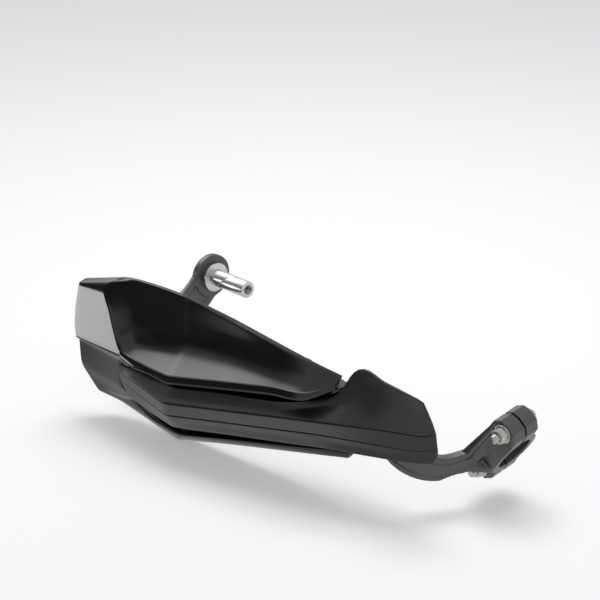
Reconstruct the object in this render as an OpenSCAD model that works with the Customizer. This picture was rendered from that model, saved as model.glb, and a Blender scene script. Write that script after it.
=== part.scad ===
// Right-hand motorcycle hand guard: a cast bracket arm with a bar-end plug and a
// handlebar clamp carries a gloss wind deflector and a satin ridged cover.
// Units are millimetres. +X runs inboard along the handlebar, -Y is forward and +Z
// is up. The origin is the centre of the bar-end bush's inboard flange face.

/* [Bar end] */
// Outer diameter of the expanding plug that slides into the handlebar
plug_d = 13.5; // [12.5:0.1:14.5]
// Length of the plug from the flange face to its tip
plug_len = 38; // [36:0.5:44]
// Diameter of the bush flange that closes the end of the handlebar
flange_d = 23.5; // [21:0.5:26]
// Thickness of the bush flange
flange_t = 4; // [3:0.5:6]
// Diameter of the eye at the end of the bracket arm
eye_d = 35; // [32:1:38]
// Thickness of the eye and of the arm beside it
eye_t = 6; // [5:0.5:8]
// Slope of the slanted cut between bush and wedge
cut_angle = 50; // [45:1:52]

/* [Handlebar clamp] */
// Diameter of the handlebar at the clamp
bar_d = 28; // [27:0.1:28.6]
// Width of the clamp along the handlebar
clamp_w = 22; // [20:1:24]
// Distance between the two clamp bolts
bolt_gap = 46; // [46:0.5:50]
// Wall of the clamp ring around the handlebar
ring_wall = 5.5; // [5:0.1:6]
// Thickness of each clamp half at its bolt lugs
lug_t = 12; // [12:0.5:13]
// Split between the two clamp halves
split_gap = 1.2; // [0.8:0.1:2]

/* [Bracket arm] */
// Thickness of the blade-like arm
blade_t = 10; // [9:0.5:11]
// Height of the bar that carries the shells
bar_h = 18; // [17:0.5:19]
// How far the rear pad under the screw heads stands off the arm
pad_rise = 3; // [2:0.5:4]

// How far inboard of the bar end the clamp stands
reach = 328; // [324:1:332]
// How far in front of the plug's axis the shell screws stand
forward = 92; // [88:1:96]

/* [Shells] */
// Wall thickness of the gloss deflector
deflector_wall = 3; // [2.6:0.1:3.2]
// Wall thickness of the satin cover
cover_wall = 2.5; // [2.2:0.1:2.7]
// Length of each spacer between arm and shell
spacer_len = 5; // [4:0.5:6]

/* [Hidden] */
$fn = 64;

// Clearances
hole_gap = 0.6;
thread_gap = 0.1;

// Bar-end bolt, an M8 socket screw
m8_d = 8;
m8_head_d = 13;
m8_head_h = 8;
m8_socket = 6;
washer_d = 16;
washer_t = 1.6;
bolt_recess = 4;
cut_x = 15.5;
cut_roll = -30;
eye_x = -flange_t - eye_t / 2;
washer_x = -flange_t - eye_t - washer_t;

// M6 hardware of the clamp and of the shells
m6_d = 6;
m6_flange_d = 14;
m6_flange_t = 1.5;
m6_hex = 10;
nut_h = 6.5;
tip_len = 4;
dome_d = 10.5;
dome_h = 3.3;
m6_socket = 4;

// Handlebar clamp: place, turn and outline
clamp_at = [reach, -21, -24];
clamp_turn = [14, 34, 7];
end_margin = 8.5;
clamp_len = bolt_gap + 2 * end_margin;
ring_r = bar_d / 2 + ring_wall;
web_inset = 0.7;

// The straight bar between the two shell screws
screw_outer = [200, -forward, 9.5];
screw_inner = [254, 6 - forward, -1.5];
bar_vec = screw_inner - screw_outer;
bar_len = norm(bar_vec);
bar_yaw = atan2(bar_vec[1], bar_vec[0]);
bar_drop = -asin(bar_vec[2] / bar_len);
pad_h = 12;
pad_d = 14;
bar_low = 1;
pad_y = blade_t / 2 + pad_rise;
front_pad = 2;
front_y = -blade_t / 2 - front_pad;
boss_y = front_y - spacer_len;
boss_d = 14;
spacer_d = 13;
insert_d = 8;
insert_len = 8;
outer_boss_len = 12;
inner_boss_len = 8;
boss_core = 8;
boss_core_low = 2.4;
outer_core_len = 20;
inner_core_len = 14;

// Screws that join cover and deflector, M5, driven from behind along -Y
m5_d = 5;
m5_head_d = 9.5;
m5_head_h = 2.8;
m5_len = 16;
m5_socket = 3;
joint_outer = [150, -43.5 - forward, -23];
joint_inner = [213, -27 - forward, -12];
joint_pad_d = 12;
joint_pad_len = 11.5;
joint_boss_d = 9;
joint_boss_len = 5;

// Centre line of the arm: x, y, z, blade height, blade thickness
arm_end = clamp_at + [-9, -15, -9];
arm_line = [
    [eye_x, 0, 0, 28, eye_t - 1],
    [eye_x, -16, -15, 31, eye_t - 1],
    [-4, -34, -23, 31, eye_t],
    [4, 40 - forward, -20, 31, 8],
    [18, 22 - forward, -9, 30, 9],
    [36, 5 - forward, 2, 30, blade_t],
    [62, -8 - forward, 10, 29, blade_t],
    [100, -13 - forward, 14, 27, blade_t],
    [150, -8 - forward, 12.5, 22, blade_t],
    [screw_outer[0], screw_outer[1], screw_outer[2] - bar_low, bar_h, blade_t],
    [screw_inner[0], screw_inner[1], screw_inner[2] - bar_low, bar_h, blade_t],
    [reach - 54, 7 - forward, -14, 19, blade_t],
    [reach - 38, 9 - forward, -26, 19, blade_t],
    [reach - 27, 18 - forward, -33.5, 19, blade_t],
    concat(arm_end + [-11, -24, -4.5], [16, blade_t]),
    concat(arm_end + [-4, -10, -1.5], [14, 9]),
    concat(arm_end + [0, 0, 1.5], [13, 8])
];

// Feature lines of the deflector, from the outboard edge to the inboard end.
// Top rear edge, top fold, upper wall, lower wall, back and front of the floor,
// upper and lower edge of the lip, recess top, middle and bottom, upper edge of
// the bottom lip, bottom edge and rear edge of the return flange. The outboard side
// is one flat face, so the points on it are given by x and z alone.
function side(x, z) = [x, -145 - 0.06 * x + 0.2 * z, z];
deflector_lines = [
    [[5, -134, 35], [48, -133, 47.5], [56, -132, 49], [70, -132.4, 51], [92, -129.6, 51],
     [112, -127, 50], [120, -125, 48.5], [155, -118, 42], [202.7, -113.5, 34.5],
     [230.1, -109.3, 29.2], [246, -99, 21.5]],
    [side(4, 32), side(36.3, 38), [40.3, -139.1, 39], [67, -133.2, 46], [91, -130, 48.5],
     [112, -127.3, 47.8], [119.5, -125.4, 46.2], [155, -119.7, 40.6], [202.7, -114.8, 33.4],
     [230.1, -110.5, 28.5], [246.5, -100, 20.8]],
    [side(3, 15.4), side(46.1, 22.4), [50, -141.8, 22.4], [65, -135, 25], [88, -131, 28],
     [111, -127.5, 28], [119, -125.5, 28], [156, -118.7, 28], [204.3, -116.9, 28],
     [232, -112.6, 24.6], [247, -101, 20]],
    [side(4.5, 3.2), side(55.3, 9.1), [59.3, -144.4, 9.1], [70, -138, 14], [90, -132, 15],
     [112, -129, 16], [120, -127.5, 16.5], [158, -122.5, 18], [206, -120, 21.5],
     [233.5, -115.3, 20.5], [247, -102, 19]],
    [side(6.1, -2), side(59.8, 3.3), [63.8, -146.4, 4.1], [74, -141, 4.5], [94, -137.5, 5],
     [114, -136.5, 6.5], [122, -135.3, 8], [160.5, -129.5, 10.7], [207.8, -124.6, 15.6],
     [235, -119, 16.9], [247, -102.7, 18.3]],
    [side(7.1, -4.2), side(62.6, 0.2), [64.6, -148.6, 0], [81, -148.8, -1.9],
     [101.2, -149, -2.5], [120.5, -149.5, -1.9], [128.3, -149, -0.5], [165, -139.6, 5],
     [209.3, -129.3, 11.8], [236.2, -123, 14.2], [247, -103.4, 17.8]],
    [side(7.6, -5.2), side(63.4, -0.9), [65.5, -149.3, -1.2], [82, -149.9, -2.5],
     [102, -150.1, -3], [121, -150.6, -2.4], [129, -150.1, -1], [166, -140.6, 4.6],
     [210, -130.3, 11.5], [237, -124, 13.8], [247, -104, 17.3]],
    [side(8.7, -7.2), side(66, -5), [68, -150.4, -6], [82, -151.4, -8.2], [102, -151.6, -7.5],
     [121, -152, -8], [129, -151.5, -6.5], [166, -142, -0.8], [210, -131.5, 6],
     [237, -125, 8.8], [248, -104.5, 14]],
    [[9.3, -144.6, -10.4], [60, -146.6, -11], [64, -143.5, -13], [80, -142, -12.5], [100, -142, -11],
     [119, -142, -11.5], [127, -141.5, -11], [165, -132, -4.5], [209, -119, 3],
     [236, -108, 8.5], [245, -95, 10.5]],
    [[9, -143, -29], [54, -141, -34], [59, -136, -34], [74, -135, -34], [94, -134, -36],
     [112, -134, -38], [120, -133, -37], [158, -125, -30], [204, -116, -20],
     [232, -108, -14], [241, -99, -8]],
    [[14, -140, -40], [60, -136.5, -43.5], [65, -132, -44], [76, -129, -50], [92, -127, -54],
     [106, -126, -56], [114, -125, -55], [150, -117, -49], [196, -109, -38],
     [231, -103, -32], [245, -98.5, -28]],
    [[20, -138, -48], [45, -134, -49], [62, -133.5, -50], [76, -132, -56], [94, -131, -59],
     [108, -130, -60], [116, -129, -58.5], [153, -119.5, -52], [199, -112, -43],
     [234, -105, -36], [257, -101.5, -31]],
    [[22, -136, -51], [40, -130.5, -55], [54, -129.5, -57.5], [72, -126, -63],
     [86, -124, -67.5], [98, -123, -70], [106, -122, -68], [145, -115, -59.5],
     [192, -107.5, -50], [228, -102.5, -42.5], [257, -100.5, -35.5]],
    [[26, -127, -50], [44, -121, -54], [58, -119, -56], [75, -116, -61], [88, -114, -65],
     [99, -113, -67], [107, -112, -65], [146, -106, -57], [193, -98, -48],
     [229, -93, -40], [256, -92, -34]]
];

// The shells are drawn for screws 92 mm in front of the plug's axis, and move with them
shell_shift = [0, 92 - forward, 0];

// Which way each deflector line is thickened: y and z shares of the wall
deflector_back = [
    [1, 0], [1, -0.2], [1, 0], [1, -0.1], [0.87, -0.5], [0.87, -0.67], [1, -0.55],
    [1, 0.2], [1, 0.27], [1, 0.2], [1, 0], [1, 0.2], [0.5, 1.07], [0, 1]
];

// The two ridges of the cover, from its pointed tip to the end of the inboard blade,
// and how much of a groove lies under each of them there
upper_ridge = [
    [61.8, -148, -18.5], [88, -151, -19.5], [118, -154, -22], [125.5, -153.6, -21.3],
    [166, -144.4, -15], [216, -131.1, -8], [247, -122.5, -3.9], [265, -115, -2.7],
    [289, -102.6, -2], [316, -91.5, -1], [325, -88, 2]
];
lower_ridge = [
    [59, -144.5, -27], [85, -145.5, -32], [113, -148, -35], [120.5, -147.6, -34.3],
    [160, -137, -28.8], [210, -123.8, -22], [240, -115.8, -17.9], [258, -109.7, -16.8],
    [280, -101.9, -15.8], [308, -92, -14.5], [325, -86, -10]
];
upper_groove = [0.3, 0.9, 1, 1, 1, 1, 1, 1, 0.9, 0.7, 0.4];
lower_groove = [0.3, 0.9, 1, 1, 1, 1, 1, 1, 0.8, 0.4, 0.3];
function under(ridge, share, back, drop) =
    [for (i = [0 : len(ridge) - 1]) ridge[i] + share[i] * [-0.6, back, -drop]];

// Feature lines of the cover: hidden top edge, cove, first face, each ridge with the
// bottom and the lower edge of its groove, third face, bottom edge and rear edge
cover_lines = [
    [[62.8, -148.2, -12.8], [88, -145.3, -12.6], [117, -146.5, -11.9], [127, -146.3, -11.4],
     [166, -136, -6], [216, -125, 0.8], [247, -106, 9.5], [260, -95.5, 30.5],
     [285, -96, 29.3], [314, -96.3, 27.3], [320, -95.5, 25.5]],
    [[62.6, -148.2, -14.4], [88, -147, -14], [117, -148, -13.9], [127, -147.5, -13.4],
     [166, -137, -7.8], [216, -125.4, -1], [247, -108, 7], [262, -98, 22],
     [287, -97.5, 21], [315, -94.5, 19], [322, -92.5, 17]],
    [[62.3, -148.2, -16.8], [88, -149, -16.7], [118, -151, -18.5], [126, -150.5, -18],
     [165, -139.5, -10.8], [215, -127.2, -4.5], [247, -111, 3], [264, -105, 9],
     [288, -100, 10], [316, -93, 9], [324, -90, 9]],
    upper_ridge,
    under(upper_ridge, upper_groove, 1.9, 0.6),
    under(upper_ridge, upper_groove, 0.9, 2),
    lower_ridge,
    under(lower_ridge, lower_groove, 2.2, 0.6),
    under(lower_ridge, lower_groove, 1.3, 2),
    [[60, -141, -36.5], [86, -141, -41], [111, -142.5, -43], [118.5, -142, -42.5],
     [157, -131.5, -37], [206, -119, -30], [237, -111.5, -26], [254, -105.5, -24],
     [276, -99.5, -23], [306, -91, -20], [324.5, -85.3, -16]],
    [[66, -138, -43.5], [88, -137, -48], [109, -137.5, -50], [117.5, -136.5, -49.2],
     [156, -127.1, -43.7], [204, -115.6, -37], [236, -107.9, -32.4], [252, -104.6, -30.5],
     [274, -100, -27.8], [304, -91.6, -24.8], [322, -85.5, -21.5]],
    [[66.5, -135.5, -43], [88, -133.5, -47.5], [109, -134, -49.5], [117.5, -133, -48.7],
     [156, -123.5, -43.2], [204, -112, -36.5], [236, -104.5, -32], [252, -101.5, -30],
     [274, -97, -27.3], [304, -89, -24.3], [319, -84, -24]]
];
cover_back = [
    [1, -0.1], [1, 0], [1, 0], [1, 0], [1, 0], [1, 0], [1, 0], [1, 0], [1, 0], [1, 0],
    [1, 0.5], [0.2, 1]
];

// Smooth curve through points: tangents are limited so that close points make a
// tight corner and far points a straight run
function place(v) = [v[0], v[1], v[2]];
function unit(v) = v / max(norm(v), 0.001);
function span(v) = max(norm(place(v)), 0.001);
function tangent(p, i) =
    let (n = len(p) - 1)
    i == 0 ? p[1] - p[0] :
    i == n ? p[n] - p[n - 1] :
    (p[i + 1] - p[i - 1]) * min(span(p[i + 1] - p[i]), span(p[i] - p[i - 1])) / span(p[i + 1] - p[i - 1]);
function blend(a, b, ta, tb, t) =
    a * (2 * t ^ 3 - 3 * t ^ 2 + 1) + ta * (t ^ 3 - 2 * t ^ 2 + t)
    + b * (3 * t ^ 2 - 2 * t ^ 3) + tb * (t ^ 3 - t ^ 2);
function smooth(p, steps) = [
    for (i = [0 : len(p) - 2])
        for (k = [0 : steps - 1])
            blend(p[i], p[i + 1], tangent(p, i), tangent(p, i + 1), k / steps),
    p[len(p) - 1]
];
function column(grid, j) = [for (row = grid) row[j]];
function flip(grid) = [for (j = [0 : len(grid[0]) - 1]) column(grid, j)];
function fine(grid, steps) =
    let (long = [for (row = grid) smooth(row, steps)])
    flip([for (across = flip(long)) smooth(across, steps)]);
function stretch(list, steps) = [
    for (i = [0 : len(list) - 2])
        for (k = [0 : steps - 1])
            list[i] * (1 - k / steps) + list[i + 1] * k / steps,
    list[len(list) - 1]
];

// A closed shell: the outer grid, the same grid moved back by the wall, and edges
module shell(grid, back, wall, steps) {
    outer = fine(grid, steps);
    shift = stretch(back, steps);
    rows = len(outer);
    cols = len(outer[0]);
    total = rows * cols;
    inner = [for (i = [0 : rows - 1]) [for (p = outer[i]) p + wall * [0, shift[i][0], shift[i][1]]]];
    points = concat([for (row = outer) each row], [for (row = inner) each row]);
    rim = concat(
        [for (j = [0 : cols - 1]) j],
        [for (i = [1 : rows - 1]) i * cols + cols - 1],
        [for (j = [cols - 2 : -1 : 0]) (rows - 1) * cols + j],
        [for (i = [rows - 2 : -1 : 1]) i * cols]
    );
    faces = concat(
        [for (i = [0 : rows - 2]) for (j = [0 : cols - 2]) each [
            [i * cols + j, i * cols + j + 1, (i + 1) * cols + j + 1],
            [i * cols + j, (i + 1) * cols + j + 1, (i + 1) * cols + j],
            [total + i * cols + j, total + (i + 1) * cols + j + 1, total + i * cols + j + 1],
            [total + i * cols + j, total + (i + 1) * cols + j, total + (i + 1) * cols + j + 1]
        ]],
        [for (k = [0 : len(rim) - 1]) let (a = rim[k], b = rim[(k + 1) % len(rim)]) each [
            [a, total + a, total + b],
            [a, total + b, b]
        ]]
    );
    polyhedron(points, faces, convexity = 10);
}

// The blade of the arm: a shallow channel, open to the rider, with a recessed panel
// in front, swept along its line
blade_outline = [
    [-0.5, -0.44], [-0.5, -0.32], [-0.37, -0.26], [-0.37, 0.2], [-0.5, 0.26], [-0.5, 0.44],
    [-0.4, 0.5], [0.35, 0.5], [0.5, 0.46], [0.5, 0.36],
    [0.1, 0.24], [0.18, 0], [0.1, -0.24], [0.5, -0.36], [0.5, -0.46], [0.35, -0.5],
    [-0.4, -0.5]
];
// Triangles that close the outline at either end, by the numbers of its points
blade_cap = [
    [0, 1, 2], [3, 4, 5], [3, 5, 6], [3, 6, 10], [2, 3, 11], [3, 10, 11], [6, 7, 10],
    [7, 9, 10], [7, 8, 9], [2, 11, 12], [2, 12, 16], [0, 2, 16], [12, 15, 16],
    [12, 13, 15], [13, 14, 15]
];
module blade(line, steps) {
    way = smooth(line, steps);
    n = len(way);
    sides = len(blade_outline);
    points = [
        for (i = [0 : n - 1])
            let (
                ahead = unit(place(way[min(i + 1, n - 1)]) - place(way[max(i - 1, 0)])),
                side = unit(cross([0, 0, 1], ahead)),
                high = cross(ahead, side)
            )
            for (q = blade_outline)
                place(way[i]) + side * q[0] * way[i][4] + high * q[1] * way[i][3]
    ];
    faces = concat(
        [for (c = blade_cap) [c[2], c[1], c[0]]],
        [for (c = blade_cap) c + (n - 1) * sides * [1, 1, 1]],
        [for (i = [0 : n - 2]) for (s = [0 : sides - 1]) let (
            a = i * sides + s,
            b = i * sides + (s + 1) % sides
        ) each [[a, b + sides, a + sides], [a, b, b + sides]]]
    );
    polyhedron(points, faces, convexity = 10);
}

module along_x(from, to, d) {
    translate([from, 0, 0]) rotate([0, 90, 0]) cylinder(d = d, h = to - from);
}
module along_y(from, to, d) {
    translate([0, from, 0]) rotate([-90, 0, 0]) cylinder(d = d, h = to - from);
}
module hex_y(from, to, across) {
    translate([0, from, 0]) rotate([-90, 0, 0]) cylinder(d = across / cos(30), h = to - from, $fn = 6);
}
module hex_x(from, to, across) {
    translate([from, 0, 0]) rotate([0, 90, 0]) cylinder(d = across / cos(30), h = to - from, $fn = 6);
}

// Frames: the clamp's own axes, and the straight bar's own axes at either screw
module in_clamp() {
    translate(clamp_at) rotate(clamp_turn) children();
}
module at_bolt(side) {
    in_clamp() translate([0, 0, side * bolt_gap / 2]) children();
}
module at_screw(place) {
    translate(place) rotate([0, bar_drop, bar_yaw]) children();
}

// One half of the clamp; side is -1 for the saddle in front, 1 for the cap behind
module clamp_half(side) {
    difference() {
        intersection() {
            translate([-clamp_w / 2, 0, 0]) rotate([90, 0, 90]) linear_extrude(clamp_w)
                intersection() {
                    union() {
                        circle(r = ring_r);
                        square([2 * lug_t, clamp_len], center = true);
                    }
                    translate([side * (ring_r + split_gap / 2), 0])
                        square([2 * ring_r, clamp_len], center = true);
                }
            rotate([90, 0, 0]) linear_extrude(4 * ring_r, center = true) clamp_face();
        }
        along_x(-clamp_w, clamp_w, bar_d);
        for (end = [-1, 1]) translate([0, 0, end * bolt_gap / 2])
            along_y(-2 * ring_r, 2 * ring_r, m6_d + hole_gap);
    }
}
// Outline of the clamp seen along its bolts, with three flats at each end
module clamp_face() {
    w = clamp_w / 2;
    h = clamp_len / 2;
    polygon([
        [w, h - 8], [w * 0.62, h - 1.5], [0, h], [-w * 0.62, h - 1.5], [-w, h - 8],
        [-w, 8 - h], [-w * 0.62, 1.5 - h], [0, -h], [w * 0.62, 1.5 - h], [w, 8 - h]
    ]);
}

module bracket_arm() {
    color([0.13, 0.13, 0.14]) difference() {
        union() {
            blade(arm_line, 4);
            along_x(-flange_t - eye_t, -flange_t, eye_d);
            at_screw(screw_outer) {
                translate([-2, 0, -pad_h / 2]) cube([bar_len + 4, pad_y, pad_h]);
                along_y(front_y, pad_y, pad_d);
            }
            at_screw(screw_inner) along_y(front_y, pad_y, pad_d);
            in_clamp() clamp_half(-1);
            clamp_web();
        }
        along_x(-flange_t - 2 * eye_t, 0, m8_d + hole_gap);
        at_screw(screw_outer) along_y(-20, 20, m6_d + hole_gap);
        at_screw(screw_inner) along_y(-20, 20, m6_d + hole_gap);
        in_clamp() {
            along_x(-3 * clamp_w, 3 * clamp_w, bar_d);
            translate([-2 * clamp_w, -split_gap / 2, -clamp_len]) cube([4 * clamp_w, 60, 2 * clamp_len]);
        }
        for (end = [-1, 1]) at_bolt(end) {
            along_y(-60, 0, m6_d + hole_gap);
            along_y(-60, -lug_t, m6_flange_d + 2);
        }
    }
}
// Two flanges and a thin web that spread the arm's end over the saddle
module clamp_web() {
    hull() {
        translate(arm_end + [-3, -8, 3.5]) cube([6, 8, 4], center = true);
        in_clamp() translate([-clamp_w / 2 + web_inset, -lug_t + web_inset, 8])
            cube([4, lug_t / 2, clamp_len / 2 - 16]);
    }
    hull() {
        translate(arm_end + [-3, -8, -6]) cube([6, 8, 4], center = true);
        in_clamp() translate([-clamp_w / 2 + web_inset, -ring_r + 2, -11.5])
            cube([clamp_w - 2 * web_inset, 4, 4]);
    }
    hull() {
        translate(arm_end + [-3, -6, -1]) cube([6, 4, 12], center = true);
        in_clamp() translate([-clamp_w / 2 + 2 * web_inset, -lug_t - 3, -10])
            cube([clamp_w / 2 - 1, 4, clamp_len / 2 - 8]);
    }
}

module clamp_cap() {
    color([0.12, 0.12, 0.13]) in_clamp() clamp_half(1);
}
module clamp_bolt(side) {
    color([0.8, 0.8, 0.82]) at_bolt(side) {
        along_y(-lug_t - nut_h - tip_len, lug_t, m6_d);
        along_y(lug_t, lug_t + m6_flange_t, m6_flange_d);
        difference() {
            translate([0, lug_t, 0]) rotate([-90, 0, 0])
                cylinder(d1 = m6_hex + 2, d2 = m6_hex - 2, h = m6_flange_t + dome_h);
            hex_y(lug_t + m6_flange_t, lug_t + m6_flange_t + 2 * dome_h, m6_socket);
        }
    }
}
module clamp_nut(side) {
    color([0.78, 0.78, 0.8]) at_bolt(side) difference() {
        union() {
            along_y(-lug_t - m6_flange_t, -lug_t, m6_flange_d);
            hex_y(-lug_t - nut_h, -lug_t, m6_hex);
        }
        along_y(-lug_t - 2 * nut_h, 0, m6_d + thread_gap);
    }
}

module deflector_shell() {
    color([0.03, 0.03, 0.035]) difference() {
        union() {
            translate(shell_shift) shell(deflector_lines, deflector_back, deflector_wall, 2);
            at_screw(screw_outer) {
                along_y(boss_y - outer_boss_len, boss_y, boss_d);
                translate([0, 0, -boss_core_low]) along_y(boss_y - outer_core_len, boss_y, boss_core);
            }
            for (place = [joint_outer, joint_inner])
                translate(place) along_y(0, joint_pad_len, joint_pad_d);
        }
        at_screw(screw_outer) along_y(boss_y - insert_len, boss_y + 1, insert_d);
        at_screw(screw_inner) along_y(-60, 40, boss_d + 2);
        for (place = [joint_outer, joint_inner])
            translate(place) along_y(-5, 3 * joint_pad_len, m5_d + hole_gap);
    }
}

module lower_cover() {
    color([0.2, 0.2, 0.21]) difference() {
        union() {
            translate(shell_shift) shell(cover_lines, cover_back, cover_wall, 2);
            at_screw(screw_inner) {
                along_y(boss_y - inner_boss_len, boss_y, boss_d);
                translate([0, 0, -boss_core_low]) along_y(boss_y - inner_core_len, boss_y, boss_core);
            }
            for (place = [joint_outer, joint_inner])
                translate(place) along_y(-joint_boss_len, 0, joint_boss_d);
        }
        at_screw(screw_inner) along_y(boss_y - insert_len, boss_y + 1, insert_d);
        for (place = [joint_outer, joint_inner])
            translate(place) along_y(-joint_boss_len, 1, m5_d + thread_gap);
    }
}

module shell_screw(place) {
    color([0.78, 0.78, 0.8]) at_screw(place) {
        along_y(boss_y - insert_len + 2, pad_y, m6_d);
        difference() {
            translate([0, pad_y, 0]) rotate([-90, 0, 0]) cylinder(d1 = dome_d, d2 = dome_d - 4, h = dome_h);
            hex_y(pad_y + dome_h / 3, pad_y + 2 * dome_h, m6_socket);
        }
    }
}
module spacer(place) {
    color([0.45, 0.45, 0.46]) at_screw(place) difference() {
        along_y(boss_y, front_y, spacer_d);
        along_y(boss_y - 1, front_y + 1, m6_d + hole_gap);
    }
}
module insert(place) {
    color([0.72, 0.58, 0.25]) at_screw(place) difference() {
        along_y(boss_y - insert_len, boss_y, insert_d);
        along_y(boss_y - insert_len - 1, boss_y + 1, m6_d + thread_gap);
    }
}
module cover_screw(place) {
    color([0.1, 0.1, 0.1]) translate(place) {
        along_y(joint_pad_len - m5_len, joint_pad_len, m5_d);
        difference() {
            along_y(joint_pad_len, joint_pad_len + m5_head_h, m5_head_d);
            hex_y(joint_pad_len + m5_head_h / 3, joint_pad_len + 2 * m5_head_h, m5_socket);
        }
    }
}

// Everything on the wedge's side of the slanted cut, where bush and wedge press together
module beyond_cut() {
    translate([cut_x, 0, 0]) rotate([cut_roll, 0, 0]) rotate([0, cut_angle, 0])
        translate([0, -60, -60]) cube(120);
}
module bar_end_bush() {
    color([0.85, 0.85, 0.86]) difference() {
        union() {
            along_x(-flange_t, 0, flange_d);
            along_x(-flange_t, plug_len, plug_d);
        }
        beyond_cut();
        along_x(-flange_t - 1, plug_len + 1, m8_d + hole_gap);
    }
}
module bar_end_wedge() {
    color([0.85, 0.85, 0.86]) difference() {
        intersection() {
            along_x(0, plug_len, plug_d);
            beyond_cut();
        }
        along_x(-1, plug_len + 1, m8_d + thread_gap);
    }
}
module bar_end_bolt() {
    color([0.6, 0.6, 0.62]) difference() {
        union() {
            along_x(washer_x - m8_head_h, washer_x, m8_head_d);
            along_x(washer_x - 1, plug_len - bolt_recess, m8_d);
        }
        hex_x(washer_x - m8_head_h - 1, washer_x - m8_head_h / 2, m8_socket);
    }
}
module bar_end_washer() {
    color([0.7, 0.7, 0.72]) difference() {
        along_x(washer_x, washer_x + washer_t, washer_d);
        along_x(washer_x - 1, washer_x + washer_t + 1, m8_d + hole_gap);
    }
}

bracket_arm();
clamp_cap();
clamp_bolt(1);  // clamp_bolt_upper
clamp_bolt(-1);  // clamp_bolt_lower
clamp_nut(1);  // clamp_nut_upper
clamp_nut(-1);  // clamp_nut_lower
deflector_shell();
lower_cover();
shell_screw(screw_outer);  // shell_screw_outer
shell_screw(screw_inner);  // shell_screw_inner
spacer(screw_outer);  // spacer_outer
spacer(screw_inner);  // spacer_inner
insert(screw_outer);  // insert_outer
insert(screw_inner);  // insert_inner
cover_screw(joint_outer);  // cover_screw_outer
cover_screw(joint_inner);  // cover_screw_inner
bar_end_bush();
bar_end_wedge();
bar_end_bolt();
bar_end_washer();
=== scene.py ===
# %% [markdown]
# A right-hand motorcycle hand guard, dressed for a product picture. The real thing is
# a cast arm that bolts to the bar end and clamps to the middle of the handlebar, with
# two plastic shells in front of it: a glossy wind deflector and a satin cover with two
# ridges. The solids come in as a fixed frame, and this lesson builds what is seen on
# top of them, in metres, with +X inboard, -Y forward and +Z up.

# %% Start
import math

import bmesh
import bpy
from mathutils import Matrix, Vector


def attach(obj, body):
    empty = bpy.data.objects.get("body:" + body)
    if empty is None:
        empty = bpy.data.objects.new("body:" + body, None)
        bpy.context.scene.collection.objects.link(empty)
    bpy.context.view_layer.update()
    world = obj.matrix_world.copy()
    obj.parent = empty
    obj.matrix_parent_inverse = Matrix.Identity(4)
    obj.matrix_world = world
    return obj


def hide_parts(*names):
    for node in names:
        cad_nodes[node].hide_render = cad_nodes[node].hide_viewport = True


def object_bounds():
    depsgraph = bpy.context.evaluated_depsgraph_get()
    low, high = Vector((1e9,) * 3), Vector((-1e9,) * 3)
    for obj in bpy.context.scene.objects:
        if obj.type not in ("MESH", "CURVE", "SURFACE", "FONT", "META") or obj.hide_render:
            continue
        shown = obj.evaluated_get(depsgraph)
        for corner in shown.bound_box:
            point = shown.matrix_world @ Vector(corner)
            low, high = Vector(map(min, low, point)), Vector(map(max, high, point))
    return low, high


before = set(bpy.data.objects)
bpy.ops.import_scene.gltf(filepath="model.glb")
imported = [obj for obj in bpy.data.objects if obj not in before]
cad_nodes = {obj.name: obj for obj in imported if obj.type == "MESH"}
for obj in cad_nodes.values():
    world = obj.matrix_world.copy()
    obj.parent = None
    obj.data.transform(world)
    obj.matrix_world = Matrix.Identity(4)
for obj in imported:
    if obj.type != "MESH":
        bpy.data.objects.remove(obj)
cad_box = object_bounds()
MM = 0.001


def rounded(box):
    return [tuple(round(v, 4) for v in corner) for corner in box]


print("solids:", len(cad_nodes), "box:", rounded(cad_box))

# %% [markdown]
# Plastic and paint get their life from small things: a grain that breaks up the
# highlight, and a gloss that wanders a little. Both come from noise, so one node group
# makes them for every finish, with the grain's size and the spread of the gloss as
# named inputs. It gives a height for a Bump node and a roughness.

# %% Grain group
def socket(group, way, name, kind, value=None):
    made = group.interface.new_socket(name=name, in_out=way, socket_type=kind)
    if value is not None:
        made.default_value = value
    return made


def math_node(group, operation, a, b=None):
    node = group.nodes.new("ShaderNodeMath")
    node.operation = operation
    for place, value in enumerate((a, b)):
        if value is None:
            continue
        if isinstance(value, (int, float)):
            node.inputs[place].default_value = value
        else:
            group.links.new(value, node.inputs[place])
    return node.outputs[0]


def noise(group, vector, scale, detail=2.0, rough=0.5):
    node = group.nodes.new("ShaderNodeTexNoise")
    node.inputs["Detail"].default_value = detail
    node.inputs["Roughness"].default_value = rough
    group.links.new(vector, node.inputs["Vector"])
    if isinstance(scale, (int, float)):
        node.inputs["Scale"].default_value = scale
    else:
        group.links.new(scale, node.inputs["Scale"])
    return node.outputs[0]


def drift(group, value, spread):
    """Noise moved to lie about zero, as strong as spread says."""
    return math_node(group, "MULTIPLY", math_node(group, "SUBTRACT", value, 0.5), spread)


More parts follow.
